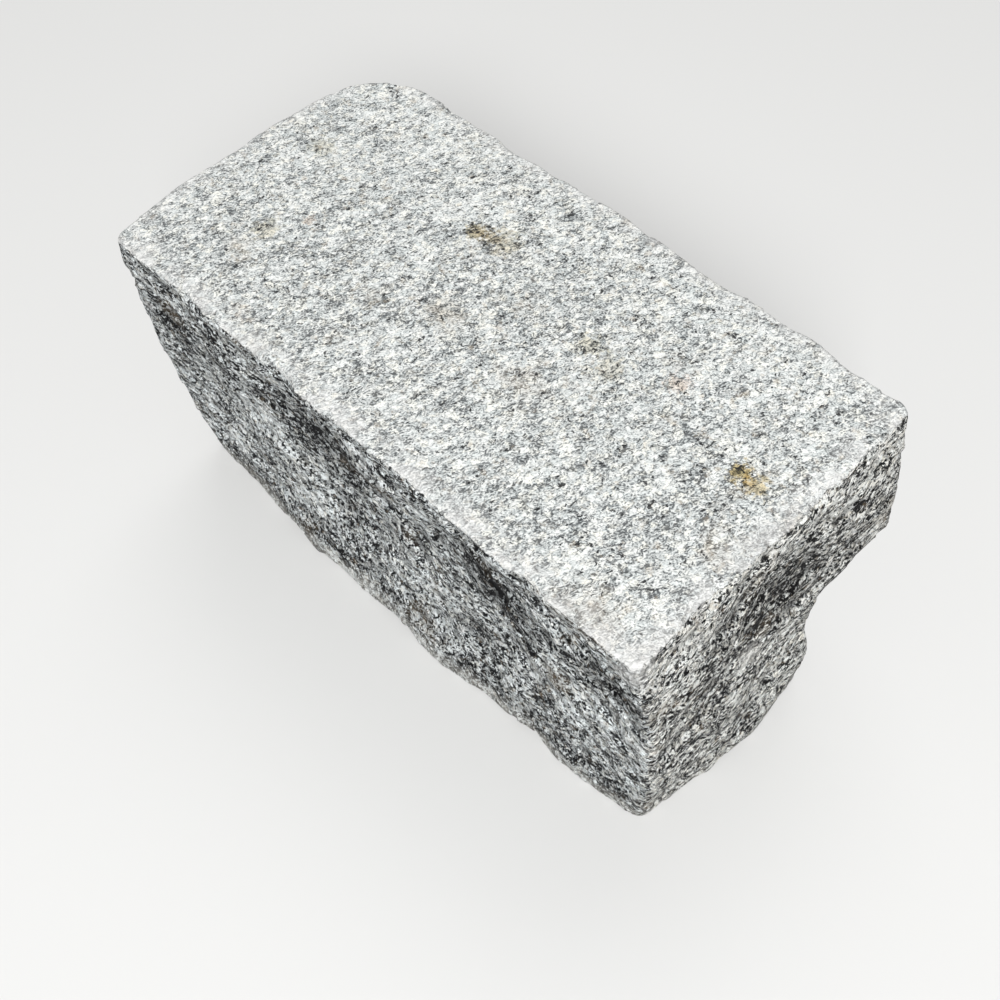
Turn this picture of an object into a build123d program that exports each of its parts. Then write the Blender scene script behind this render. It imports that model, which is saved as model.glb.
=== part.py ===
from build123d import *
import os
from math import atan2, cos, degrees, pi, radians, sin, sqrt

# Granite belgian block: one split piece of stone, roughly square in section, with a level wearing face.
# The origin is on the bed, under the middle of the block's overall box. +X runs along the length to the
# end with the toe, +Y runs to the back and +Z is up. All sizes are in millimetres.

# Overall size
length = 269.0  # from the crown of the left end to the toe of the right end
width = 131.0  # from the belly of the front foot to the back arris
height = 127.0  # from the bed to the wearing face
waist_height = 76.0  # level of the middle section

# Left end
left_crown = 6.0  # how far the arris is bowed out in plan
left_skew = 2.5  # how much further the front of the end reaches than its back
left_swell = 4.0  # how far the waist stands out past the arris
left_batter = 6.0  # how far the foot is set in behind the arris

# Right end
toe_reach = 24.0  # how far the foot stands out past the arris
toe_bow = 6.0  # how far the foot is bowed out in plan
end_skew = 9.0  # how much further the back of the end reaches than its front
end_swell = 7.0  # how far the back of the waist stands out past a straight slope
end_hollow = 2.0  # how far the middle of the waist is hollowed
ridge_swell = 4.0  # how far the front of the waist stands out past a straight slope

# Front
front_lean = 2.5  # how far the arris stands behind the foot's belly
front_belly = 6.0  # how far the foot is bowed out in plan
front_hollow = 7.0  # how far the middle of the waist is hollowed
ridge_set_back = 3.0  # how far the right corner of the waist stands behind the arris

# Back
back_crown = 1.5  # how far the arris is bowed out in plan
back_batter = 8.0  # how far the foot is set in behind the arris

# Upright corners and arrises
front_left_radius = 4.5
front_right_radius = 4.0
back_right_radius = 7.0
back_left_radius = 24.0
arris_bevel = 1.8

# Split sides: waves that cross them, each with its spacing, rise and slant in degrees, broken into flat facets
waves = [(70.0, 1.1, 15.0), (47.0, 0.9, -55.0), (38.0, 0.6, 62.0)]
wave_shift = 2.4  # how far the waves are out of step from side to side, in radians
arris_calm = 0.6  # share of the waves that is lost at the arrises
facet_size = 18.0
facet_wander = 3.5  # how far the corners of the facets stray from a regular grid

# Spall: the piece broken out of the foot where the right end meets the back
spall_depth = 38.0  # from the back arris to the foot of the broken wall, at the right end
wall_lean = 6.0  # how much deeper the wall is at its root
spall_height = 72.0  # from the bed to the root of the lip
spall_run = 170.0  # length over which the break runs out into the back
spall_root_radius = 3.0
lip_rise = 4.0  # from the root of the lip to its edge

# Chips out of the arrises of the wearing face and the bed. Each has its place as a share of the side, taken
# in turn round the stone from the front left corner to the front right and on, its width and its depth.
crown_chips = {
    "front": [(0.16, 24.0, 2.6), (0.37, 18.0, 3.4), (0.62, 26.0, 2.2), (0.83, 16.0, 2.4)],
    "right": [(0.22, 22.0, 3.4), (0.64, 17.0, 2.4)],
    "back": [(0.10, 14.0, 2.0), (0.33, 26.0, 2.2), (0.71, 20.0, 2.6)],
    "left": [(0.55, 24.0, 2.4)],
}
foot_chips = {
    "front": [(0.24, 20.0, 3.4), (0.49, 28.0, 2.6), (0.78, 18.0, 3.0)],
    "right": [(0.36, 20.0, 3.2)],
}

side_names = ["front", "right", "back", "left"]


def at_level(level, foot, waist, crown):
    """The value at one level, on the parabola through those at the foot, the waist and the wearing face."""
    foot_share = (level - waist_height) * (level - height) / (waist_height * height)
    waist_share = level * (height - level) / (waist_height * (height - waist_height))
    crown_share = level * (level - waist_height) / (height * (height - waist_height))
    return foot * foot_share + waist * waist_share + crown * crown_share


def corners_at(level, inset):
    """The four corners of the outline at one level, moved in by the inset, from the front left on."""
    waist_share = waist_height / height
    left_arris = -length / 2 + left_crown
    right_toe = length / 2 - toe_bow
    right_arris = length / 2 - toe_reach
    right_waist = right_toe + (right_arris - right_toe) * waist_share
    front_foot = -width / 2 + front_belly
    front_arris = -width / 2 + front_lean
    back_arris = width / 2 - back_crown
    left = at_level(level, left_arris + left_batter, left_arris - left_swell, left_arris) + inset
    skewed = at_level(level, right_toe, right_waist + ridge_swell, right_arris) - end_skew - inset
    right = at_level(level, right_toe, right_waist + end_swell, right_arris) - inset
    front = at_level(level, front_foot, front_arris, front_arris) + inset
    ridge = at_level(level, front_foot, front_arris + ridge_set_back, front_arris) + inset
    back = back_arris - back_batter * (1 - level / height) - inset
    corners = [(left - left_skew, front), (skewed, ridge), (right, back), (left, back)]
    return [Vector(x, y, level) for x, y in corners]


def bows_at(level):
    """How far the front, right, back and left sides are bowed out at one level."""
    return [
        at_level(level, front_belly, -front_hollow, 0),
        at_level(level, toe_bow, -end_hollow, 0),
        back_crown * level / height,
        at_level(level, 0, left_crown * waist_height / height, left_crown),
    ]


def wave(along, level, side):
    """How far a split side stands out: waves that cross it at different slants, added up."""
    total = 0
    for spacing, rise, slant in waves:
        travel = along * cos(radians(slant)) + level * sin(radians(slant))
        total += rise * sin(2 * pi * travel / spacing + side * wave_shift)
    return total


def side_point(level, inset, side, share):
    """A point of one side at one level, and the way out from it. The waves die away towards the edges."""
    corners = corners_at(level, inset)
    start = corners[side]
    span = corners[(side + 1) % len(corners)] - start
    outward = span.cross(Vector(0, 0, 1)).normalized()
    straight = start + span * share
    along = straight.X if side % 2 == 0 else straight.Y
    bow = bows_at(level)[side] * 4 * share * (1 - share)
    rise = wave(along, level, side) * (1 - (2 * share - 1) ** 6)
    rise *= 1 - arris_calm * (2 * level / height - 1) ** 6
    return straight + outward * (bow + rise), outward


def ring(level, inset=0, row=0, wander=0):
    """The corners of the facets round the stone near one level, with one in the middle of each round corner."""
    radii = [front_left_radius, front_right_radius, back_right_radius, back_left_radius]
    corners = corners_at(level, inset)
    spans = [(corners[(side + 1) % 4] - corners[side]).length for side in range(4)]
    points = []
    for side, span in enumerate(spans):
        following = (side + 1) % 4
        first, last = radii[side] / span, 1 - radii[following] / span
        steps = round((length if side % 2 == 0 else width) / facet_size)
        for i in range(steps + 1):
            stray = wander if 0 < i < steps else 0
            share = first + (last - first) * i / steps + stray / span * sin(1.9 * i + 2.6 * row)
            stray_level = level + wander * sin(2.4 * i + 1.7 * row + side)
            points.append(side_point(stray_level, inset, side, share)[0])
        corner, end = corners[following], points[-1]
        start = side_point(level, inset, following, radii[following] / spans[following])[0]
        points.append(corner + (start - corner + end - corner) * (1 - 1 / sqrt(2)))
    return points


def body():
    """The stone before it was chipped: faceted sides between two bevelled arrises."""
    low, high = arris_bevel, height - arris_bevel
    rows = round((high - low) / facet_size)
    rings = [ring(low + (high - low) * row / rows, 0, row, facet_wander) for row in range(1, rows)]
    rings = [ring(0, arris_bevel), ring(low)] + rings + [ring(high), ring(height, arris_bevel)]
    faces = [Face(Wire.make_polygon(rings[0])), Face(Wire.make_polygon(rings[-1]))]
    for row, (lower, upper) in enumerate(zip(rings, rings[1:])):
        for i in range(len(lower)):
            j = (i + 1) % len(lower)
            # Each patch is split into two facets, along one diagonal and the other by turns
            near = upper[j] if (i + row) % 2 else upper[i]
            far = lower[i] if (i + row) % 2 else lower[j]
            faces.append(Face(Wire.make_polygon([lower[i], lower[j], near])))
            faces.append(Face(Wire.make_polygon([upper[j], upper[i], far])))
    return Solid(Shell(faces))


def chips(level, upward, places):
    """Round scoops along the arrises at one level."""
    scoops = []
    for name, side_chips in places.items():
        side = side_names.index(name)
        for share, chip_width, depth in side_chips:
            arris, outward = side_point(level, 0, side, share)
            radius = (chip_width**2 / 4 + depth**2) / (2 * depth)
            away = (outward + Vector(0, 0, upward)).normalized()
            scoops.append(Pos(arris + away * (radius - depth)) * Sphere(radius))
    return scoops


def spall():
    """The missing piece: a wall and a sloping lip with a rounded root, running out along the back."""
    past = spall_depth  # how far the cutter reaches past the stone
    lip_slope = lip_rise / (spall_depth + wall_lean)
    profile = Polyline(
        (wall_lean * past / spall_height, -past),
        (-wall_lean, spall_height),
        (spall_depth + past, spall_height + lip_slope * (wall_lean + spall_depth + past)),
        (spall_depth + past, -past),
        close=True,
    )
    section = make_face(Plane.YZ * profile)
    root = section.vertices().sort_by(lambda v: abs(v.Y + wall_lean) + abs(v.Z - spall_height))[0]
    section = fillet(root, spall_root_radius)
    cutter = extrude(section, spall_run + 2 * past, dir=(-1, 0, 0))
    run_out = degrees(atan2(spall_depth, spall_run))
    wall = width / 2 - back_crown - spall_depth
    return Pos(length / 2, wall, 0) * Rot(0, 0, -run_out) * Pos(past, 0, 0) * cutter


def granite_block():
    """The chipped stone, set down with the middle of its box over the origin."""
    stone = body() - [spall(), *chips(height, 1, crown_chips), *chips(0, -1, foot_chips)]
    box = stone.bounding_box()
    return Pos(-box.center().X, -box.center().Y, -box.min.Z) * stone


os.makedirs("parts", exist_ok=True)
export_step(granite_block(), "parts/granite_block.step")
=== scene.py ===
import math

import bpy
import numpy as np
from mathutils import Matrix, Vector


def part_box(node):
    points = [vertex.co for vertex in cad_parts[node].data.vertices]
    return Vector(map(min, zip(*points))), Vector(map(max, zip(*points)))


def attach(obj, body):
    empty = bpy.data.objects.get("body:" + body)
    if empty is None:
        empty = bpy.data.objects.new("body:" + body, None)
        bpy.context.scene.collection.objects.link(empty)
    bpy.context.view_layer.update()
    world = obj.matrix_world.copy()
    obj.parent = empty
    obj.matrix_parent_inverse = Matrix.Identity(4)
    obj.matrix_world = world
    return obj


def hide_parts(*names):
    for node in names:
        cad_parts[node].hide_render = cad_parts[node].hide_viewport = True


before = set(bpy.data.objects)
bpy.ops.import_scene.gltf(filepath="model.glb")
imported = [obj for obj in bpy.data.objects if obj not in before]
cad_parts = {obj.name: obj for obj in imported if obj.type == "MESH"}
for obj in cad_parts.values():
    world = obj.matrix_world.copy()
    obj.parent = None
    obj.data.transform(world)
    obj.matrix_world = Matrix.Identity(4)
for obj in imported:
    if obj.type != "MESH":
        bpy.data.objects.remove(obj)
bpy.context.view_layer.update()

mm = 0.001

# The stone's main form in millimetres, the same sizes as the solid that it covers
stoneForm = {
    "length": 269.0,
    "width": 131.0,
    "height": 127.0,
    "waistHeight": 76.0,
    "leftCrown": 6.0,
    "leftSkew": 2.5,
    "leftSwell": 4.0,
    "leftBatter": 6.0,
    "toeReach": 24.0,
    "toeBow": 6.0,
    "endSkew": 9.0,
    "endSwell": 7.0,
    "endHollow": 2.0,
    "ridgeSwell": 4.0,
    "frontLean": 2.5,
    "frontBelly": 6.0,
    "frontHollow": 7.0,
    "ridgeSetBack": 3.0,
    "backCrown": 1.5,
    "backBatter": 8.0,
    "frontLeftRadius": 4.5,
    "frontRightRadius": 4.0,
    "backRightRadius": 7.0,
    "backLeftRadius": 24.0,
    "arrisRadius": 1.8,
    "waves": [(70.0, 1.1, 15.0), (47.0, 0.9, -55.0), (38.0, 0.6, 62.0)],  # spacing, rise, slant
    "waveShift": 2.4,
    "arrisCalm": 0.6,
    "spallDepth": 38.0,
    "wallLean": 6.0,
    "spallHeight": 72.0,
    "spallRun": 170.0,
    "spallRootRadius": 3.0,
    "lipRise": 4.0,
}

# Large chips out of the arrises of the wearing face and the bed: share along the side, width and depth.
# At the back and left they are shallower than the solid's, because smaller chips lie over them.
crownChips = {
    "front": [(0.16, 24.0, 2.6), (0.37, 18.0, 3.4), (0.62, 26.0, 2.2), (0.83, 16.0, 2.4)],
    "right": [(0.22, 22.0, 3.4), (0.64, 17.0, 2.4)],
    "back": [(0.10, 14.0, 1.2), (0.33, 26.0, 1.2), (0.71, 20.0, 1.4)],
    "left": [(0.55, 24.0, 1.2)],
}
footChips = {
    "front": [(0.24, 20.0, 3.4), (0.49, 28.0, 2.6), (0.78, 18.0, 3.0)],
    "right": [(0.36, 20.0, 3.2)],
}

# How the surface is sampled: lattice cells along the length, the width and the height
lattice = {
    "cells": (196, 96, 94),
    "crowding": 0.35,  # how much closer the lines lie at the arrises
    "coreInset": 42.0,  # how deep the rays start under the faces, mm
    "reach": 12.0,  # how far the rays go past the faces, mm
    "halvings": 20,
}

# Relief of the split sides in millimetres: (wavelength, height) pairs, coarse to fine
splitRelief = {
    "flakes": [(14.0, 1.3), (7.5, 0.55), (4.2, 0.35)],
    "facets": [(13.0, 0.15), (6.0, 0.17)],  # cell size and slope of the tilted break faces
    "streakStretch": 1.7,
    "calmLevels": (0.0, 14.0, 112.0, 127.0),  # the relief fades towards the bed and the wearing face
    "calmShares": (0.4, 1.0, 1.0, 0.5),
    "cornerCalm": (12.0, 0.45),  # how near an upright corner the relief fades, and the share left there
    "spallCalm": (14.0, 0.3),  # the same beside the edge of the spall
    "topPits": [(26.0, 0.5), (7.0, 0.3), (3.4, 0.2)],
    "bedPits": [(30.0, 1.2), (8.0, 0.6)],
    "flakeSink": 0.4,  # share of a flake's height that lies below the face
    "arrisWander": (17.0, 0.7, 0.8),  # wavelength, middle and swing of the arris radius, as shares of it
    "chipShare": 0.5,  # share of the relief that the large chips keep
    "chipRounding": 1.0,
    "spallShare": 0.2,  # share of the relief inside the spall
    "seed": 11,
}

# Which way the grains are drawn out on each face: yaw about Z, then dip below the level, degrees
streakTurn = {"top": (68.0, 0.0), "front": (0.0, 25.0), "end": (90.0, -10.0)}

# Small flakes knocked off the arrises
arrisChips = [
    {"cell": 13.0, "share": 0.45, "radius": 6.0, "depth": 1.3, "seed": 47},
    {"cell": 5.0, "share": 0.5, "radius": 2.8, "depth": 1.0, "seed": 59},
]
scoopSizes = (0.65, 0.35)  # middle and swing of their sizes, as shares of the radius and the depth


# Integer hash of whole lattice cells: mixes three coordinates and a seed into 32 random bits
def hashCells(cells, seed):
    c = cells.astype(np.int64).astype(np.uint32)
    h = c[:, 0] * np.uint32(73856093) ^ c[:, 1] * np.uint32(19349663) ^ c[:, 2] * np.uint32(83492791)
    h = h ^ np.uint32(seed * 2654435761 % 4294967296)
    for shift, factor in ((16, 2246822507), (13, 3266489909)):
        h = (h ^ (h >> np.uint32(shift))) * np.uint32(factor)
    return h ^ (h >> np.uint32(16))


# Three random numbers from -1 to 1 for each hash: ten of its bits for each number
def hashVectors(h):
    parts = [(h >> np.uint32(shift)) & np.uint32(1023) for shift in (0, 10, 20)]
    return np.stack(parts, axis=1) / 511.5 - 1.0


# Gradient noise: random slopes at the corners of unit cells, faded into each other by 6t^5 - 15t^4 + 10t^3,
# where t is the share of the way across the cell
def gradientNoise(points, seed):
    base = np.floor(points)
    inside = points - base
    fade = inside**3 * (inside * (inside * 6.0 - 15.0) + 10.0)
    total = np.zeros(len(points))
    for corner in np.ndindex(2, 2, 2):
        step = np.array(corner, dtype=float)
        slope = hashVectors(hashCells(base + step, seed))
        weight = np.prod(np.where(step > 0, fade, 1.0 - fade), axis=1)
        total += weight * np.einsum("ij,ij->i", slope, inside - step)
    return total


# Nearest of the random seeds, one in each unit cell: the offset from it and its own hash
def nearestSeed(points, seed):
    base = np.floor(points)
    best = np.full(len(points), np.inf)
    offset = np.zeros_like(points)
    owner = np.zeros(len(points), dtype=np.uint32)
    for step in np.ndindex(3, 3, 3):
        cell = base + np.array(step, dtype=float) - 1.0
        h = hashCells(cell, seed)
        away = points - cell - 0.5 - hashVectors(h) * 0.5
        distance = np.einsum("ij,ij->i", away, away)
        nearer = distance < best
        best = np.where(nearer, distance, best)
        offset = np.where(nearer[:, None], away, offset)
        owner = np.where(nearer, h, owner)
    return offset, owner


# Break faces: each cell is a plane with a random tilt through its seed
def tiltedFacets(points, seed):
    offset, owner = nearestSeed(points, seed)
    tilt = hashVectors(owner * np.uint32(2654435761) + np.uint32(97))
    return np.einsum("ij,ij->i", offset, tilt)


# Scoops: round bites at a share of the random seeds, deepest in the middle and zero at their rim
def scoopDepth(points, chips):
    cellPoints = points / chips["cell"]
    base = np.floor(cellPoints)
    depth = np.zeros(len(points))
    for step in np.ndindex(3, 3, 3):
        cell = base + np.array(step, dtype=float) - 1.0
        h = hashCells(cell, chips["seed"])
        away = (cellPoints - cell - 0.5 - hashVectors(h) * 0.5) * chips["cell"]
        pick = hashVectors(h * np.uint32(2654435761) + np.uint32(13))
        size = scoopSizes[0] + scoopSizes[1] * pick[:, 1]
        rim = np.einsum("ij,ij->i", away, away) / (chips["radius"] * size) ** 2
        bite = chips["depth"] * size * np.clip(1.0 - rim, 0.0, None)
        chosen = pick[:, 0] * 0.5 + 0.5 < chips["share"]
        depth = np.maximum(depth, np.where(chosen, bite, 0.0))
    return depth


# Unit vector along a face's streaks: turned by the yaw about Z, then dipped
def streakAxis(face):
    yaw, dip = np.radians(streakTurn[face])
    return np.array([math.cos(dip) * math.cos(yaw), math.cos(dip) * math.sin(yaw), -math.sin(dip)])


# Points squeezed along the streaks, so that a round pattern comes out drawn out along them
def squeezed(points, face, stretch):
    axis = streakAxis(face)
    return points - np.outer(points @ axis * (1.0 - 1.0 / stretch), axis)


# The parabola through the three values at the foot, the waist and the wearing face
def atLevels(z, foot, waist, crown):
    low, mid, high = 0.0, stoneForm["waistHeight"], stoneForm["height"]
    footShare = (z - mid) * (z - high) / ((low - mid) * (low - high))
    waistShare = (z - low) * (z - high) / ((mid - low) * (mid - high))
    crownShare = (z - low) * (z - mid) / ((high - low) * (high - mid))
    return foot * footShare + waist * waistShare + crown * crownShare


# Waves that cross a side at different slants, added up, and dying away towards its corners and arrises
def sideWave(along, z, share, side):
    total = 0.0
    for spacing, rise, slant in stoneForm["waves"]:
        travel = along * math.cos(math.radians(slant)) + z * math.sin(math.radians(slant))
        total = total + rise * np.sin(2 * math.pi * travel / spacing + side * stoneForm["waveShift"])
    total = total * (1 - (2 * np.clip(share, 0.0, 1.0) - 1) ** 6)
    return total * (1 - stoneForm["arrisCalm"] * (2 * np.clip(z / stoneForm["height"], 0.0, 1.0) - 1) ** 6)


# Box space to stone space: each level's four sides are straight lines with a parabola's bow and the waves,
# and the inside lies between them in proportion
def bentToStone(p):
    f = stoneForm
    waistShare = f["waistHeight"] / f["height"]
    leftArris = -f["length"] / 2 + f["leftCrown"]
    rightToe = f["length"] / 2 - f["toeBow"]
    rightArris = f["length"] / 2 - f["toeReach"]
    rightWaist = rightToe + (rightArris - rightToe) * waistShare
    frontFoot = -f["width"] / 2 + f["frontBelly"]
    frontArris = -f["width"] / 2 + f["frontLean"]
    u, v, z = p[:, 0] / boxSize[0], p[:, 1] / boxSize[1], p[:, 2]
    left = atLevels(z, leftArris + f["leftBatter"], leftArris - f["leftSwell"], leftArris)
    skewed = atLevels(z, rightToe, rightWaist + f["ridgeSwell"], rightArris) - f["endSkew"]
    right = atLevels(z, rightToe, rightWaist + f["endSwell"], rightArris)
    front = atLevels(z, frontFoot, frontArris, frontArris)
    ridge = atLevels(z, frontFoot, frontArris + f["ridgeSetBack"], frontArris)
    back = f["width"] / 2 - f["backCrown"] - f["backBatter"] * (1 - z / f["height"])
    frontBow = atLevels(z, f["frontBelly"], -f["frontHollow"], 0.0)
    rightBow = atLevels(z, f["toeBow"], -f["endHollow"], 0.0)
    backBow = f["backCrown"] * z / f["height"]
    leftBow = atLevels(z, 0.0, f["leftCrown"] * waistShare, f["leftCrown"])
    alongBow, acrossBow = 4 * u * (1 - u), 4 * v * (1 - v)
    outer = left - f["leftSkew"]
    x0, x1 = outer + v * (left - outer), skewed + v * (right - skewed)
    y0, y1 = front + u * (ridge - front), back
    x0 = x0 - leftBow * acrossBow - sideWave(front + v * (back - front), z, v, 3)
    x1 = x1 + rightBow * acrossBow + sideWave(ridge + v * (back - ridge), z, v, 1)
    y0 = y0 - frontBow * alongBow - sideWave(outer + u * (skewed - outer), z, u, 0)
    y1 = y1 + backBow * alongBow + sideWave(left + u * (right - left), z, u, 2)
    return np.stack([x0 + u * (x1 - x0), y0 + v * (y1 - y0), z], axis=1)


# Centres and radii of the large chips: balls that dip into the arrises, in stone space
def chipBalls():
    balls = []
    for z, up, places in ((stoneForm["height"], 1.0, crownChips), (0.0, -1.0, footChips)):
        for side, chips in places.items():
            for share, wide, deep in chips:
                u, v, outward = {
                    "front": (share, 0.0, (0.0, -1.0)),
                    "right": (1.0, share, (1.0, 0.0)),
                    "back": (1.0 - share, 1.0, (0.0, 1.0)),
                    "left": (0.0, 1.0 - share, (-1.0, 0.0)),
                }[side]
                arris = bentToStone(np.array([[u * boxSize[0], v * boxSize[1], z]]))[0]
                radius = (wide**2 / 4 + deep**2) / (2 * deep)
                balls.append((arris + np.array([*outward, up]) / math.sqrt(2.0) * (radius - deep), radius))
    return balls


# The larger of two distances, with the edge between them rounded by a radius
def roundedMax(a, b, radius):
    return np.minimum(np.maximum(a, b), -radius) + np.hypot(
        np.maximum(a + radius, 0.0), np.maximum(b + radius, 0.0)
    )


# Distance from the spall's hollow, in stone space: its leaning wall and sloping lip with a rounded root
def spallDistance(q):
    f = stoneForm
    turn = math.atan2(f["spallDepth"], f["spallRun"])
    foot = f["width"] / 2 - f["backCrown"] - f["spallDepth"]
    lean = f["wallLean"] / f["spallHeight"]
    slope = f["lipRise"] / (f["spallDepth"] + f["wallLean"])
    out = (q[:, 0] - f["length"] / 2) * math.sin(turn) + (q[:, 1] - foot) * math.cos(turn)
    behind = (-out - lean * q[:, 2]) / math.hypot(1.0, lean)
    under = (q[:, 2] - f["spallHeight"] - slope * (out + f["wallLean"])) / math.hypot(1.0, slope)
    return roundedMax(behind, under, f["spallRootRadius"])


# Distances from the six faces of the box, each moved out by its relief
def faceDistances(p, relief):
    return {
        "front": -p[:, 1] - relief["front"],
        "back": p[:, 1] - boxSize[1] - relief["back"],
        "left": -p[:, 0] - relief["left"],
        "right": p[:, 0] - boxSize[0] - relief["right"],
        "top": p[:, 2] - boxSize[2] - relief["top"],
        "bed": -p[:, 2] - relief["bed"],
    }


# Distance from the stone: rounded uprights, rounded and chipped arrises, less the spall
def stoneDistance(p, relief):
    f = stoneForm
    d = faceDistances(p, relief)
    plan = roundedMax(d["front"], d["left"], f["frontLeftRadius"])
    plan = np.maximum(plan, roundedMax(d["front"], d["right"], f["frontRightRadius"]))
    plan = np.maximum(plan, roundedMax(d["back"], d["right"], f["backRightRadius"]))
    plan = np.maximum(plan, roundedMax(d["back"], d["left"], f["backLeftRadius"]))
    stone = roundedMax(plan, np.maximum(d["top"], d["bed"]), relief["arris"])
    nearest = np.sort(np.stack(list(d.values())), axis=0)
    chamfer = (nearest[-1] + nearest[-2]) / math.sqrt(2.0)
    stone = np.maximum(stone, chamfer + relief["chips"])
    q = bentToStone(p)
    for centre, radius in chipBalls():
        bite = radius - np.linalg.norm(q - centre, axis=1)
        rough = splitRelief["chipShare"] * relief["front"]
        stone = roundedMax(stone, bite - rough, splitRelief["chipRounding"])
    rough = splitRelief["spallShare"] * relief["back"]
    return roundedMax(stone, -spallDistance(q) - rough, f["arrisRadius"])


# The lattice of a box's surface: grid lines of the six faces, welded along the edges
def boxLattice():
    nodes, quads, start = [], [], 0
    for axis in range(3):
        across, up = (axis + 1) % 3, (axis + 2) % 3
        n, m = lattice["cells"][across], lattice["cells"][up]
        a, b = np.meshgrid(np.arange(n + 1), np.arange(m + 1), indexing="ij")
        index = np.arange((n + 1) * (m + 1)).reshape(n + 1, m + 1)
        corners = [index[:-1, :-1], index[1:, :-1], index[1:, 1:], index[:-1, 1:]]
        for side in (0, 1):
            grid = np.zeros((a.size, 3), dtype=np.int64)
            grid[:, axis] = side * lattice["cells"][axis]
            grid[:, across], grid[:, up] = a.ravel(), b.ravel()
            turned = corners if side else corners[::-1]
            quads.append(np.stack([c.ravel() for c in turned], axis=1) + start)
            nodes.append(grid)
            start += a.size
    nodes, weld = np.unique(np.concatenate(nodes), axis=0, return_inverse=True)
    share = nodes / np.array(lattice["cells"], dtype=float)
    share -= lattice["crowding"] * np.sin(2 * math.pi * share) / (2 * math.pi)
    return share, weld.ravel()[np.concatenate(quads)]


# Where each ray from the core to past the faces leaves the stone, by halving
def leavePoints(share, relief):
    centre = boxSize / 2
    start = centre + (share - 0.5) * (boxSize - 2 * lattice["coreInset"])
    reach = centre + (share - 0.5) * (boxSize + 2 * lattice["reach"]) - start
    low, high = np.zeros(len(share)), np.ones(len(share))
    for _ in range(lattice["halvings"]):
        middle = (low + high) / 2
        outside = stoneDistance(start + reach * middle[:, None], relief) > 0
        high = np.where(outside, middle, high)
        low = np.where(outside, low, middle)
    return start + reach * ((low + high) / 2)[:, None]


# Relief of a split side: drawn-out flakes with sharp gaps (the size of the noise, whatever its sign) and
# tilted break faces added up, fading towards the arrises
def splitSide(q, face, seed):
    drawn = squeezed(q, face, splitRelief["streakStretch"])
    height = np.zeros(len(q))
    for i, (wave, rise) in enumerate(splitRelief["flakes"]):
        swell = 2.0 * np.abs(gradientNoise(drawn / wave, seed + 10 + i))
        height += rise * (swell - splitRelief["flakeSink"])
    for i, (cell, slope) in enumerate(splitRelief["facets"]):
        height += slope * cell * tiltedFacets(drawn / cell, seed + 20 + i)
    return height * np.interp(q[:, 2], splitRelief["calmLevels"], splitRelief["calmShares"])


# Pits of a level face: noise of each wavelength, kept from rising above the face
def pittedFace(q, pits, seed):
    height = np.zeros(len(q))
    for i, (wave, rise) in enumerate(pits):
        height += rise * gradientNoise(q / wave, seed + i)
    return np.minimum(height, 0.0)


# All the reliefs at the smooth stone's points. Near an upright corner two sides are near, and both fade
# there. The right end also fades towards the edge of the spall.
def stoneRelief(q, p):
    seed = splitRelief["seed"]
    d = faceDistances(p, smoothRelief)
    secondSide = -np.sort(np.stack([d[side] for side in ("front", "back", "left", "right")]), axis=0)[-2]
    reach, least = splitRelief["cornerCalm"]
    calm = np.interp(secondSide, (0.0, reach), (least, 1.0))
    reach, least = splitRelief["spallCalm"]
    spallCalm = np.interp(np.abs(spallDistance(q)), (0.0, reach), (least, 1.0))
    chips = np.zeros(len(q))
    for kind in arrisChips:
        chips = np.maximum(chips, scoopDepth(q, kind))
    wave, middle, swing = splitRelief["arrisWander"]
    wander = middle + swing * gradientNoise(q / wave, seed + 600)
    return {
        "front": calm * splitSide(q, "front", seed),
        "back": calm * splitSide(q, "front", seed + 100),
        "left": calm * splitSide(q, "end", seed + 200),
        "right": calm * spallCalm * splitSide(q, "end", seed + 300),
        "top": pittedFace(q, splitRelief["topPits"], seed + 400),
        "bed": pittedFace(q, splitRelief["bedPits"], seed + 500),
        "arris": stoneForm["arrisRadius"] * wander,
        "chips": chips,
    }


# Painted shade and light on the sides, darker under the arris and paler lower down, and zones of painted
# shade and light that are partly the stone's own darker and paler patches: place, radius and lift
shading = {
    "levels": (10.0, 26.0, 62.0, 76.0, 90.0, 106.0),
    "lifts": (-0.08, 0.16, 0.14, 0.06, -0.06, 0.12),
    "endShare": 0.4,
    "endLift": 0.05,
    "endBlend": 6.0,  # width of the change from the front's lifts to the ends'
    "noise": (34.0, 14.0),  # wavelength, and how far the levels wander
    "zones": [
        ((-70.0, -60.0, 70.0), 22.0, 0.36),
        ((-50.0, -60.0, 32.0), 16.0, 0.36),
        ((10.0, -58.0, 88.0), 13.0, 0.40),
        ((12.0, -59.0, 43.0), 22.0, 0.22),
        ((108.0, -60.0, 71.0), 20.0, 0.32),
        ((-30.0, -59.0, 88.0), 30.0, -0.50),
        ((-30.0, -59.0, 44.0), 13.0, -0.42),
        ((48.0, -59.0, 86.0), 28.0, -0.46),
        ((40.0, -60.0, 39.0), 17.0, -0.36),
        ((98.0, -61.0, 101.0), 20.0, -0.42),
        ((-108.0, -62.0, 92.0), 16.0, -0.26),
        ((112.0, 5.0, 95.0), 28.0, -0.34),
        ((112.0, -32.0, 80.0), 14.0, -0.34),
        ((120.0, 34.0, 42.0), 16.0, -0.34),
        ((108.0, -48.0, 106.0), 16.0, 0.30),
        ((118.0, -10.0, 68.0), 14.0, 0.26),
        ((126.0, 15.0, 20.0), 20.0, 0.20),
        ((-21.0, -7.0, 127.0), 14.0, -0.08),
        ((-100.0, 20.0, 127.0), 55.0, 0.06),
        ((-55.0, 70.0, 127.0), 75.0, 0.07),
        ((65.0, 70.0, 127.0), 75.0, 0.07),
    ],
}
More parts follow.
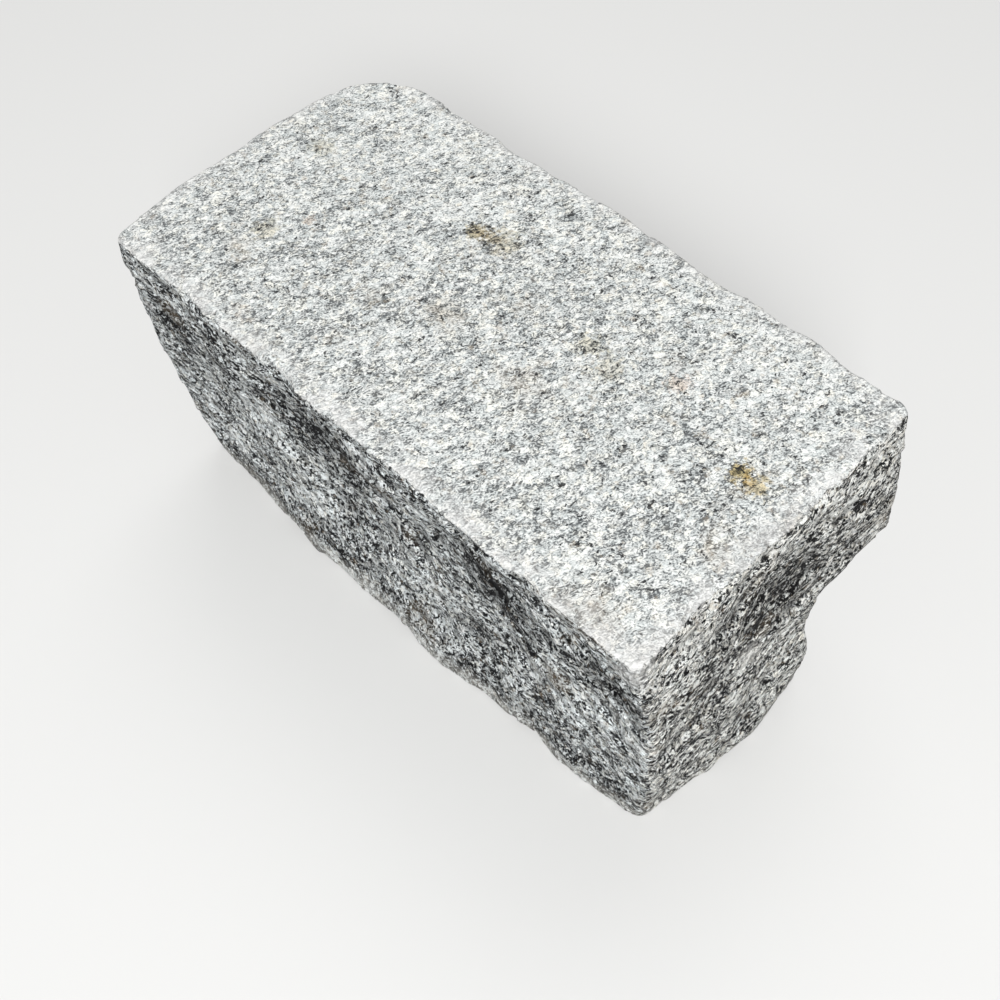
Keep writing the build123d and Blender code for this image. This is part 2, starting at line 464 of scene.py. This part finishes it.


# Painted shade and light as a lift of the tone at each point: by its level, wandering with noise, on the
# sides, and everywhere by the zones, each fading as the square of one less the squared share of its radius
def broadShade(points, topInset, endInset):
    wavelength, wander = shading["noise"]
    level = points[:, 2] + wander * gradientNoise(points / wavelength, splitRelief["seed"] + 700)
    lift = np.interp(level, shading["levels"], shading["lifts"])
    onEnd = np.clip(endInset / shading["endBlend"] + 0.5, 0.0, 1.0)
    lift = lift * (1.0 - onEnd) + (lift * shading["endShare"] + shading["endLift"]) * onEnd
    lift = np.where(topInset > 0.0, 0.0, lift)
    for at, radius, change in shading["zones"]:
        away = np.linalg.norm(points - np.array(at), axis=1) / radius
        lift += change * np.clip(1.0 - away**2, 0.0, None) ** 2
    return lift


smoothRelief = {name: 0.0 for name in ("front", "back", "left", "right", "top", "bed", "chips")}
smoothRelief["arris"] = stoneForm["arrisRadius"]


# Normals of the points: the quads' cross products added up at their corners
def pointNormals(points, quads):
    across = points[quads[:, 2]] - points[quads[:, 0]]
    normal = np.cross(across, points[quads[:, 3]] - points[quads[:, 1]])
    total = np.zeros_like(points)
    for corner in range(4):
        np.add.at(total, quads[:, corner], normal)
    return total / np.linalg.norm(total, axis=1, keepdims=True)


# Height above the neighbourhood: the point less its place after repeated averaging, along the normal
def standingOut(points, quads, rounds):
    a = np.concatenate([quads[:, 0], quads[:, 1], quads[:, 2], quads[:, 3]])
    b = np.concatenate([quads[:, 1], quads[:, 2], quads[:, 3], quads[:, 0]])
    count = np.bincount(a, minlength=len(points))[:, None]
    smooth = points
    for _ in range(rounds):
        near = np.stack([np.bincount(a, smooth[b, k], len(points)) for k in range(3)], axis=1)
        smooth = 0.5 * smooth + 0.5 * near / count
    return np.einsum("ij,ij->i", points - smooth, pointNormals(smooth, quads))


# The straight box that is bent into the stone: about as long and wide as the wearing face
boxInset = np.array([18.0, 4.0, 0.0])
boxSize = np.array([stoneForm["length"], stoneForm["width"], stoneForm["height"]]) - boxInset
hiddenSet = 3.0  # how far the wearing face's colour reaches over the hidden arrises, mm
ridgeRounds = 14  # rounds of averaging that tell ridges from hollows


def buildStone():
    share, quads = boxLattice()
    smoothBox = leavePoints(share, smoothRelief)
    smooth = bentToStone(smoothBox)
    print("smooth stone", len(smooth), "points")
    relief = stoneRelief(smooth, smoothBox)
    stone = bentToStone(leavePoints(share, relief))
    middle = (smooth.min(axis=0) + smooth.max(axis=0)) / 2
    low, high = (np.array(c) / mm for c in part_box("granite_block"))
    stone[:, :2] += ((low + high) / 2 - middle)[:2]
    stone[:, 2] = np.maximum(stone[:, 2], 0.0)
    print("rough stone from", stone.min(axis=0), "to", stone.max(axis=0))

    mesh = bpy.data.meshes.new("granite_stone")
    mesh.from_pydata((stone * mm).tolist(), [], quads.tolist())
    mesh.polygons.foreach_set("use_smooth", np.ones(len(quads), dtype=bool))

    d = faceDistances(smoothBox, smoothRelief)
    ends, longSides = np.maximum(d["left"], d["right"]), np.maximum(d["front"], d["back"])
    hidden = np.maximum(d["back"], d["left"]) - hiddenSet
    seen = np.maximum(np.maximum(d["front"], d["right"]), hidden)
    topInset, endInset = d["top"] - np.maximum(seen, d["bed"]), ends - longSides
    addAttribute(mesh, "topInset", topInset)
    addAttribute(mesh, "endInset", endInset)
    # The painted shade and light, partly the stone's own paler and darker patches, kept at each point
    addAttribute(mesh, "shade", broadShade(stone, topInset, endInset))
    addAttribute(mesh, "ridge", standingOut(stone, quads, ridgeRounds))
    mesh.update()
    piece = bpy.data.objects.new("granite_stone", mesh)
    bpy.context.collection.objects.link(piece)
    return piece


def addAttribute(mesh, name, values):
    layer = mesh.attributes.new(name, "FLOAT", "POINT")
    layer.data.foreach_set("value", np.ascontiguousarray(values, dtype=np.float32))


# One node: its settings, and its sockets filled with a link or a value
def addNode(tree, kind, settings=None, sockets=None):
    node = tree.nodes.new("ShaderNode" + kind)
    for name, value in (settings or {}).items():
        setattr(node, name, value)
    for name, value in (sockets or {}).items():
        if isinstance(value, bpy.types.NodeSocket):
            tree.links.new(value, node.inputs[name])
        else:
            node.inputs[name].default_value = value
    return node


def calc(tree, operation, *values, clamp=False):
    settings = {"operation": operation, "use_clamp": clamp}
    return addNode(tree, "Math", settings, dict(enumerate(values))).outputs[0]


def fitRange(tree, value, fromLow, fromHigh, toLow=0.0, toHigh=1.0):
    sockets = {0: value, 1: fromLow, 2: fromHigh, 3: toLow, 4: toHigh}
    return addNode(tree, "MapRange", {"clamp": True}, sockets).outputs[0]


def vectorCalc(tree, operation, *values):
    node = addNode(tree, "VectorMath", {"operation": operation}, dict(enumerate(values)))
    return node.outputs["Value" if operation == "DOT_PRODUCT" else "Vector"]


# A texture's value less its middle value
def centred(tree, value):
    return calc(tree, "SUBTRACT", value, 0.5)


def scaled(tree, vector, factor):
    node = addNode(tree, "VectorMath", {"operation": "SCALE"}, {0: vector, "Scale": factor})
    return node.outputs["Vector"]


def blendColour(tree, share, a, b, mode="MIX"):
    settings = {"data_type": "RGBA", "blend_type": mode, "clamp_factor": True}
    return addNode(tree, "Mix", settings, {0: share, 6: a, 7: b}).outputs[2]


def blendVector(tree, share, a, b):
    return addNode(tree, "Mix", {"data_type": "VECTOR"}, {0: share, 4: a, 5: b}).outputs[1]


def noise(tree, vector, size, detail=2.0, roughness=0.5):
    sockets = {"Vector": vector, "Scale": 1.0 / size, "Detail": detail, "Roughness": roughness}
    return addNode(tree, "TexNoise", {"noise_dimensions": "3D"}, sockets)


def grains(tree, vector, size):
    sockets = {"Vector": scaled(tree, vector, 1.0 / size), "Scale": 1.0}
    node = addNode(tree, "TexVoronoi", {"voronoi_dimensions": "3D", "feature": "F1"}, sockets)
    return node, sockets["Vector"]


def colourRamp(tree, value, stops):
    node = addNode(tree, "ValToRGB", None, {0: value})
    ramp = node.color_ramp
    while len(ramp.elements) < len(stops):
        ramp.elements.new(0.5)
    for element, (place, colour) in zip(ramp.elements, stops):
        element.position = place
        element.color = (*colour, 1.0)
    return node.outputs[0]


granite = {
    "stretch": {"top": 1.4, "front": 1.25, "end": 1.6},  # how much longer than wide the grains are
    "coarseness": {"top": 1.0, "front": 1.05, "end": 0.88},
    "topGrain": 1.5,  # mm, the feldspar and quartz mosaic
    "chipGrain": 0.85,
    "gritSize": 0.5,
    "speckleSize": 1.7,
    "fleckSize": 1.4,
    "crackSize": 3.0,
    "clusterSize": 5.5,
    "cloudSize": 18.0,
    "topWeights": {
        "mosaic": 0.25,
        "chip": 0.36,
        "cluster": 0.65,
        "cloud": 0.4,
        "speckle": 1.4,
        "grit": 1.4,
    },
    "sideWeights": {
        "mosaic": 0.55,
        "chip": 1.0,
        "cluster": 1.5,
        "cloud": 1.0,
        "speckle": 2.9,
        "grit": 1.4,
    },
    "topCast": (0.985, 1.0, 0.985),
    "frontCast": (0.965, 1.0, 1.005),
    "endCast": (1.005, 1.0, 0.965),
    "topStops": [
        (0.10, (0.14, 0.145, 0.15)),
        (0.30, (0.37, 0.38, 0.385)),
        (0.50, (0.62, 0.63, 0.63)),
        (0.70, (0.80, 0.805, 0.80)),
        (0.90, (0.90, 0.90, 0.89)),
    ],
    # The sides' ramp is darker and harder than the wearing face's: the split stone's own grain, with
    # painted shade of the gaps between flakes at its black end
    "sideStops": [
        (0.20, (0.008, 0.008, 0.009)),
        (0.36, (0.065, 0.067, 0.07)),
        (0.48, (0.30, 0.305, 0.31)),
        (0.60, (0.70, 0.705, 0.70)),
        (0.74, (0.93, 0.93, 0.92)),
    ],
    "castStops": [(0.0, (0.97, 1.0, 1.01)), (0.6, (1.0, 1.0, 1.0)), (1.0, (1.02, 1.0, 0.95))],
    "biotite": (0.018, 0.019, 0.021),
    # colour of the painted glints
    "paintedGlint": (0.86, 0.88, 0.89),
    "bruise": (0.80, 0.795, 0.78),
    # colour of the foot's rim, painted as a highlight along its bruised edge
    "foot": (0.82, 0.80, 0.74),
    "tan": (0.50, 0.40, 0.28),
    # colour of the painted shade in the hollows
    "hollowShade": (0.05, 0.05, 0.05),
    "specular": 0.15,
}

# Where the finishes of the granite and its painted shade and highlights begin and end: lengths in
# millimetres, the rest as shares
finishesAndPaintedLight = {
    "ragged": {"size": 4.0, "top": 5.0, "end": 16.0, "edge": 0.3},  # how far the faces' borders wander
    "wobble": {"size": 1.6, "reach": 1.6},
    "worn": {"wander": 24.0, "low": 112.0, "high": 126.0, "lift": 0.10},
    # the foot's pale rim: painted highlight along its bruised edge
    "rim": {"wander": 9.0, "low": 4.0, "high": 10.0, "endShare": 0.5, "lift": 0.12, "foot": 0.35},
    # painted shade and light on the sides: its share in the tone and the gain it gives the colour
    "shade": {"toneShare": 0.7, "dark": -0.42, "pale": 0.22, "leastGain": 0.58, "mostGain": 1.12},
    # thin dark lines: mica edges with painted shadow of the fine relief
    "micaAndShadowLine": {"width": 0.03, "lift": -0.22, "grey": 0.38, "white": 0.52},
    "mottle": {"size": 2.2, "stain": 3.0, "flake": 2.5},
    "fleck": {"limit": 0.65, "gather": 0.35, "grime": -0.09, "edge": 0.02, "strength": 0.92},
    # painted glints on the sides
    "paintedGlint": {"limit": 0.36, "edge": 0.03, "strength": 0.8},
    "tanCloud": {"size": 22.0, "low": 0.58, "high": 0.75, "strength": 0.28},
    "tanGrain": {"size": 3.5, "low": 0.60, "high": 0.70, "strength": 0.3},
    "bruise": {"size": 9.0, "near": 2.0, "far": 11.0, "low": 0.36, "high": 0.56, "strength": 0.6},
    "smear": {"low": 0.66, "high": 0.72, "strength": 0.6},
    # painted shade darkening the hollows
    "hollow": {"deep": -0.8, "level": -0.1, "strength": 0.6},
    "bump": {"facet": 2.2, "speckle": 2.2, "grit": 0.5, "topShare": 0.3},
    "gloss": {"quartz": 0.35, "smooth": 0.55, "rough": 0.82},
}

# Marks on the wearing face: place and radius in millimetres, colour and strength
stains = [
    {"at": (89.3, 8.4), "radius": 4.5, "colour": (0.76, 0.58, 0.26), "strength": 0.85},
    {"at": (94.5, 7.8), "radius": 5.0, "colour": (0.74, 0.58, 0.30), "strength": 0.7},
    {"at": (-36.3, 25.9), "radius": 5.0, "colour": (0.52, 0.43, 0.26), "strength": 0.8},
    {"at": (-31.0, 26.8), "radius": 4.5, "colour": (0.58, 0.48, 0.32), "strength": 0.5},
    {"at": (-26.0, 28.4), "radius": 7.0, "colour": (0.74, 0.65, 0.48), "strength": 0.55},
    {"at": (-107.5, 17.2), "radius": 6.0, "colour": (0.70, 0.63, 0.46), "strength": 0.4},
    {"at": (-91.4, -23.7), "radius": 6.0, "colour": (0.68, 0.60, 0.42), "strength": 0.45},
    {"at": (-83.5, -10.4), "radius": 2.8, "colour": (0.74, 0.54, 0.42), "strength": 0.5},
    {"at": (-21.0, -7.3), "radius": 7.0, "colour": (0.70, 0.63, 0.54), "strength": 0.35},
    {"at": (24.8, 14.3), "radius": 5.5, "colour": (0.64, 0.56, 0.38), "strength": 0.45},
    {"at": (35.2, 11.9), "radius": 6.0, "colour": (0.66, 0.58, 0.42), "strength": 0.4},
    {"at": (55.3, 22.1), "radius": 4.5, "colour": (0.72, 0.52, 0.42), "strength": 0.45},
    {"at": (111.4, 5.0), "radius": 5.0, "colour": (0.66, 0.54, 0.40), "strength": 0.4},
]

# Larger bare flakes on the sides, and the worn corner of the front and the right end
bareFlakes = [
    {"at": (105.5, -62.0, 123.0), "radius": 9.0, "colour": (0.78, 0.78, 0.76), "strength": 0.65},
    {"at": (119.0, -10.0, 70.0), "radius": 8.0, "colour": (0.66, 0.65, 0.62), "strength": 0.6},
    {"at": (108.6, -62.0, 62.0), "radius": 5.5, "colour": (0.72, 0.75, 0.76), "strength": 0.6},
]


def graniteMaterial():
    material = bpy.data.materials.new("granite")
    material.use_nodes = True
    tree = material.node_tree
    tree.nodes.clear()

    place = addNode(tree, "TexCoord").outputs["Object"]
    place = scaled(tree, place, 1.0 / mm)

    # The faces meet along ragged borders
    def attribute(name):
        return addNode(tree, "Attribute", {"attribute_name": name}).outputs["Fac"]

    border = finishesAndPaintedLight["ragged"]
    ragged = centred(tree, noise(tree, place, border["size"], 3.0, 0.65).outputs["Fac"])
    topInset = calc(tree, "MULTIPLY_ADD", ragged, border["top"], attribute("topInset"))
    endInset = calc(tree, "MULTIPLY_ADD", ragged, border["end"], attribute("endInset"))
    onTop = fitRange(tree, topInset, -border["edge"], border["edge"])
    offTop = calc(tree, "SUBTRACT", 1.0, onTop)
    onEnd = calc(tree, "GREATER_THAN", endInset, 0.0)
    ridge = attribute("ridge")

    drawn = {}
    for face, (yaw, dip) in streakTurn.items():
        coarse = granite["coarseness"][face]
        sockets = {
            "Vector": place,
            "Rotation": (0.0, math.radians(dip), math.radians(yaw)),
            "Scale": (coarse * granite["stretch"][face], coarse, coarse),
        }
        drawn[face] = addNode(tree, "Mapping", {"vector_type": "TEXTURE"}, sockets).outputs[0]
    grainPlace = blendVector(tree, onEnd, drawn["front"], drawn["end"])
    grainPlace = blendVector(tree, calc(tree, "GREATER_THAN", topInset, 0.0), grainPlace, drawn["top"])
    wobble = noise(tree, grainPlace, finishesAndPaintedLight["wobble"]["size"], 2.0).outputs["Color"]
    wobble = vectorCalc(tree, "SUBTRACT", wobble, (0.5, 0.5, 0.5))
    grainPlace = vectorCalc(tree, "ADD", grainPlace, scaled(tree, wobble, finishesAndPaintedLight["wobble"]["reach"]))

    # Mosaic of pale feldspar and grey quartz, broken up by fractal grain: each layer, less its middle
    # value, times its weight on that face
    mosaic, mosaicPlace = grains(tree, grainPlace, granite["topGrain"])
    chip = grains(tree, grainPlace, granite["chipGrain"])[0]
    layers = {
        "mosaic": addNode(tree, "SeparateColor", None, {0: mosaic.outputs["Color"]}).outputs[0],
        "chip": addNode(tree, "SeparateColor", None, {0: chip.outputs["Color"]}).outputs[0],
        "cluster": noise(tree, grainPlace, granite["clusterSize"], 2.0, 0.6).outputs["Fac"],
        "cloud": noise(tree, grainPlace, granite["cloudSize"], 3.0, 0.6).outputs["Fac"],
        "speckle": noise(tree, grainPlace, granite["speckleSize"], 3.0, 0.8).outputs["Fac"],
        "grit": noise(tree, grainPlace, granite["gritSize"], 0.0).outputs["Fac"],
    }

    def mixedTone(weights):
        total = 0.5
        for name, layer in layers.items():
            total = calc(tree, "MULTIPLY_ADD", centred(tree, layer), weights[name], total)
        return total

    # Painted shade and light from the shade attribute, the ends' arris worn pale, and the foot's rim
    # painted pale as a highlight along its bruised edge
    shade = attribute("shade")
    level = addNode(tree, "SeparateXYZ", None, {0: place}).outputs["Z"]
    worn, rim, shaded = finishesAndPaintedLight["worn"], finishesAndPaintedLight["rim"], finishesAndPaintedLight["shade"]
    wornLevel = calc(tree, "MULTIPLY_ADD", ragged, worn["wander"], level)
    atCrown = fitRange(tree, wornLevel, worn["low"], worn["high"], 0.0, worn["lift"])
    shade = calc(tree, "MULTIPLY_ADD", onEnd, atCrown, shade)
    rimLevel = calc(tree, "MULTIPLY_ADD", ragged, rim["wander"], level)
    atFoot = fitRange(tree, rimLevel, rim["low"], rim["high"], 1.0, 0.0)
    atFoot = calc(tree, "MULTIPLY", atFoot, fitRange(tree, onEnd, 0.0, 1.0, 1.0, rim["endShare"]))
    shade = calc(tree, "MULTIPLY_ADD", atFoot, rim["lift"], shade)
    sideTone = calc(tree, "MULTIPLY_ADD", shade, shaded["toneShare"], mixedTone(granite["sideWeights"]))

    # Thin dark lines wander through the grey parts of the wearing face: mica edges with painted shadow of
    # the fine relief
    thin = finishesAndPaintedLight["micaAndShadowLine"]
    micaAndShadowLine = noise(tree, grainPlace, granite["crackSize"], 1.0).outputs["Fac"]
    micaAndShadowLine = calc(tree, "ABSOLUTE", centred(tree, micaAndShadowLine))
    micaAndShadowLine = fitRange(tree, micaAndShadowLine, 0.0, thin["width"], thin["lift"], 0.0)
    inGrey = fitRange(tree, layers["cluster"], thin["grey"], thin["white"], 1.0, 0.0)
    micaAndShadowLine = calc(tree, "MULTIPLY", micaAndShadowLine, inGrey)
    topTone = calc(tree, "ADD", mixedTone(granite["topWeights"]), micaAndShadowLine)
    # The wearing face takes the zones' painted light and shade too, partly its own paler and darker patches
    topTone = calc(tree, "ADD", topTone, attribute("shade"))
    topColour = colourRamp(tree, topTone, granite["topStops"])
    sideColour = colourRamp(tree, sideTone, granite["sideStops"])
    sideCast = blendColour(tree, onEnd, (*granite["frontCast"], 1.0), (*granite["endCast"], 1.0))
    sideColour = blendColour(tree, 1.0, sideColour, sideCast, "MULTIPLY")
    topColour = blendColour(tree, 1.0, topColour, (*granite["topCast"], 1.0), "MULTIPLY")
    colour = blendColour(tree, onTop, sideColour, topColour)

    # Cool and warm casts from grain to grain
    cast = addNode(tree, "SeparateColor", None, {0: mosaic.outputs["Color"]}).outputs[1]
    colour = blendColour(tree, 1.0, colour, colourRamp(tree, cast, granite["castStops"]), "MULTIPLY")

    # Marks on the wearing face: how much of each shows, full up to half its radius, with a mottled border
    mottling = finishesAndPaintedLight["mottle"]
    mottle = centred(tree, noise(tree, place, mottling["size"], 3.0, 0.7).outputs["Fac"])

    def patch(centre, radius, strength, spread):
        away = addNode(tree, "VectorMath", {"operation": "DISTANCE"}, {0: place, 1: centre})
        away = calc(tree, "MULTIPLY_ADD", mottle, radius * spread, away.outputs["Value"])
        return fitRange(tree, away, radius * 0.5, radius, strength, 0.0)

    marks, grime = [], 0.0
    for stain in stains:
        centre = (*stain["at"], stoneForm["height"])
        mark = patch(centre, stain["radius"], stain["strength"], mottling["stain"])
        marks.append(calc(tree, "MULTIPLY", mark, onTop))
        grime = calc(tree, "MAXIMUM", grime, marks[-1])

    # Black biotite flecks with ragged outlines, gathered where the stone is grey and round the marks, and
    # painted glints on the sides, pale specks that stand in for cleavage faces catching the light
    mica, bright = finishesAndPaintedLight["fleck"], finishesAndPaintedLight["paintedGlint"]
    fleck = noise(tree, grainPlace, granite["fleckSize"], 3.0, 0.55).outputs["Fac"]
    limit = calc(tree, "MULTIPLY_ADD", centred(tree, layers["cluster"]), mica["gather"], mica["limit"])
    limit = calc(tree, "MULTIPLY_ADD", grime, mica["grime"], limit)
    flecked = calc(tree, "DIVIDE", calc(tree, "SUBTRACT", fleck, limit), mica["edge"], clamp=True)
    flecked = calc(tree, "MULTIPLY", flecked, mica["strength"])
    paintedGlint = calc(tree, "SUBTRACT", bright["limit"], fleck)
    paintedGlint = calc(tree, "DIVIDE", paintedGlint, bright["edge"], clamp=True)
    paintedGlint = calc(tree, "MULTIPLY", paintedGlint, fitRange(tree, onTop, 0.0, 1.0, bright["strength"], 0.0))

    # Faint tan weathering, then the marks, the flecks, the painted glints and the bare flakes
    for kind, detail, roughness in (("tanCloud", 4.0, 0.65), ("tanGrain", 3.0, 0.6)):
        tan = finishesAndPaintedLight[kind]
        weathered = noise(tree, place, tan["size"], detail, roughness).outputs["Fac"]
        weathered = fitRange(tree, weathered, tan["low"], tan["high"], 0.0, tan["strength"])
        colour = blendColour(tree, weathered, colour, (*granite["tan"], 1.0))
    for stain, mark in zip(stains, marks):
        colour = blendColour(tree, mark, colour, (*stain["colour"], 1.0), "MULTIPLY")
    colour = blendColour(tree, flecked, colour, (*granite["biotite"], 1.0))
    colour = blendColour(tree, paintedGlint, colour, (*granite["paintedGlint"], 1.0))
    for flake in bareFlakes:
        bare = patch(flake["at"], flake["radius"], flake["strength"], mottling["flake"])
        colour = blendColour(tree, bare, colour, (*flake["colour"], 1.0))

    # Bruised arrises and smears on the sides are chalky, and the foot's rim is painted pale as a highlight
    # along its bruised edge
    chalk, smeared = finishesAndPaintedLight["bruise"], finishesAndPaintedLight["smear"]
    bruisePatch = noise(tree, place, chalk["size"], 3.0, 0.65).outputs["Fac"]
    bruise = calc(tree, "MULTIPLY", fitRange(tree, topInset, chalk["near"], chalk["far"], 1.0, 0.0), onTop)
    bruise = calc(tree, "MULTIPLY", bruise, fitRange(tree, bruisePatch, chalk["low"], chalk["high"]))
    bruise = calc(tree, "MULTIPLY", bruise, chalk["strength"])
    colour = blendColour(tree, bruise, colour, (*granite["bruise"], 1.0))
    smear = calc(tree, "MULTIPLY", fitRange(tree, bruisePatch, smeared["low"], smeared["high"]), offTop)
    smear = calc(tree, "MULTIPLY", smear, smeared["strength"])
    colour = blendColour(tree, smear, colour, (*granite["bruise"], 1.0))
    atFoot = calc(tree, "MULTIPLY", atFoot, rim["foot"])
    colour = blendColour(tree, atFoot, colour, (*granite["foot"], 1.0))

    # The sides' painted shade and light also scales their colour, and the hollows get painted shade
    gains = (shaded["dark"], shaded["pale"], shaded["leastGain"], shaded["mostGain"])
    colour = blendColour(tree, offTop, colour, fitRange(tree, shade, *gains), "MULTIPLY")
    hollowShade = finishesAndPaintedLight["hollow"]
    hollow = fitRange(tree, ridge, hollowShade["deep"], hollowShade["level"], hollowShade["strength"], 0.0)
    colour = blendColour(tree, hollow, colour, (*granite["hollowShade"], 1.0))

    # Relief finer than the mesh: tilted grain faces and grit, in millimetres
    def facetHeight(voronoi, vector, size):
        offset = vectorCalc(tree, "SUBTRACT", vector, voronoi.outputs["Position"])
        tilt = vectorCalc(tree, "SUBTRACT", voronoi.outputs["Color"], (0.5, 0.5, 0.5))
        return calc(tree, "MULTIPLY", vectorCalc(tree, "DOT_PRODUCT", offset, tilt), size)

    fine = finishesAndPaintedLight["bump"]
    height = calc(tree, "MULTIPLY", facetHeight(mosaic, mosaicPlace, granite["topGrain"]), fine["facet"])
    height = calc(tree, "MULTIPLY_ADD", layers["speckle"], fine["speckle"], height)
    height = calc(tree, "MULTIPLY_ADD", layers["grit"], fine["grit"], height)
    height = calc(tree, "MULTIPLY", height, fitRange(tree, onTop, 0.0, 1.0, 1.0, fine["topShare"]))
    bump = addNode(tree, "Bump", None, {"Strength": 1.0, "Distance": mm, "Height": height}).outputs[0]

    sheen = finishesAndPaintedLight["gloss"]
    gloss = fitRange(tree, layers["mosaic"], 0.0, sheen["quartz"], sheen["smooth"], sheen["rough"])
    sockets = {"Base Color": colour, "Roughness": gloss, "Normal": bump}
    shader = addNode(tree, "BsdfPrincipled", None, sockets)
    shader.inputs["Specular IOR Level"].default_value = granite["specular"]
    addNode(tree, "OutputMaterial", None, {"Surface": shader.outputs[0]})
    print("granite material,", len(tree.nodes), "nodes")
    return material


# A floor that looks pale but throws little light back at the stone, a faint fill from all round, and
# softboxes: sizes and places in metres, power in watts
studio = {
    "floorSize": 8.0,
    "floorPale": (0.76, 0.76, 0.75),
    "floorDeep": (0.14, 0.14, 0.14),
    "fill": 0.28,
    "softboxes": [
        {"place": (1.22, -1.34, 1.86), "power": 69.0, "size": 1.2},
        {"place": (-0.90, 1.10, 2.10), "power": 16.0, "size": 1.6},
    ],
}


# One where the light path is seen by the camera, in a reflection or through glass
def seenRays(tree):
    path = addNode(tree, "LightPath")
    seen = calc(tree, "MAXIMUM", path.outputs["Is Camera Ray"], path.outputs["Is Glossy Ray"])
    return calc(tree, "MAXIMUM", seen, path.outputs["Is Transmission Ray"])


def buildFloor():
    half = studio["floorSize"] / 2
    mesh = bpy.data.meshes.new("floor")
    corners = [(-half, -half, 0), (half, -half, 0), (half, half, 0), (-half, half, 0)]
    mesh.from_pydata(corners, [], [(0, 1, 2, 3)])
    floor = bpy.data.objects.new("floor", mesh)
    bpy.context.collection.objects.link(floor)
    material = bpy.data.materials.new("pale_floor")
    material.use_nodes = True
    tree = material.node_tree
    tree.nodes.clear()
    deep, pale = ((*studio[k], 1.0) for k in ("floorDeep", "floorPale"))
    colour = blendColour(tree, seenRays(tree), deep, pale)
    shader = addNode(tree, "BsdfDiffuse", None, {"Color": colour})
    addNode(tree, "OutputMaterial", None, {"Surface": shader.outputs[0]})
    mesh.materials.append(material)


def buildLights():
    for box in studio["softboxes"]:
        lamp = bpy.data.lights.new("softbox", "AREA")
        lamp.energy = box["power"]
        lamp.size = box["size"]
        softbox = bpy.data.objects.new("softbox", lamp)
        x, y, z = softbox.location = box["place"]
        softbox.rotation_euler = (math.atan2(math.hypot(x, y), z), 0.0, math.atan2(x, -y))
        bpy.context.collection.objects.link(softbox)
    world = bpy.data.worlds.new("studio")
    bpy.context.scene.world = world
    world.use_nodes = True
    tree = world.node_tree
    tree.nodes.clear()
    fill = studio["fill"]
    colour = blendColour(tree, seenRays(tree), (fill, fill, fill, 1.0), (*studio["floorPale"], 1.0))
    background = addNode(tree, "Background", None, {"Color": colour, "Strength": 1.0})
    addNode(tree, "OutputWorld", None, {"Surface": background.outputs[0]})


# The camera's place and near limit in metres, its angles in degrees, its lens and sensor in millimetres
camera = {
    "place": (0.1432, -0.1547, 0.381),
    "nearLimit": 0.01,
    "tilt": 30.0,  # from straight down
    "turn": 43.1,
    "lens": 36.0,
    "sensor": 36.0,
}


def buildCamera():
    lens = bpy.data.cameras.new("camera")
    lens.lens = camera["lens"]
    lens.sensor_width = camera["sensor"]
    lens.clip_start = camera["nearLimit"]
    eye = bpy.data.objects.new("camera", lens)
    eye.location = camera["place"]
    eye.rotation_euler = (math.radians(camera["tilt"]), 0.0, math.radians(camera["turn"]))
    bpy.context.collection.objects.link(eye)
    bpy.context.scene.camera = eye


stonePiece = buildStone()
stonePiece.data.materials.append(graniteMaterial())
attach(stonePiece, "root")
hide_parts("granite_block")
buildFloor()
buildLights()
buildCamera()
bpy.context.scene.view_settings.view_transform = "Standard"
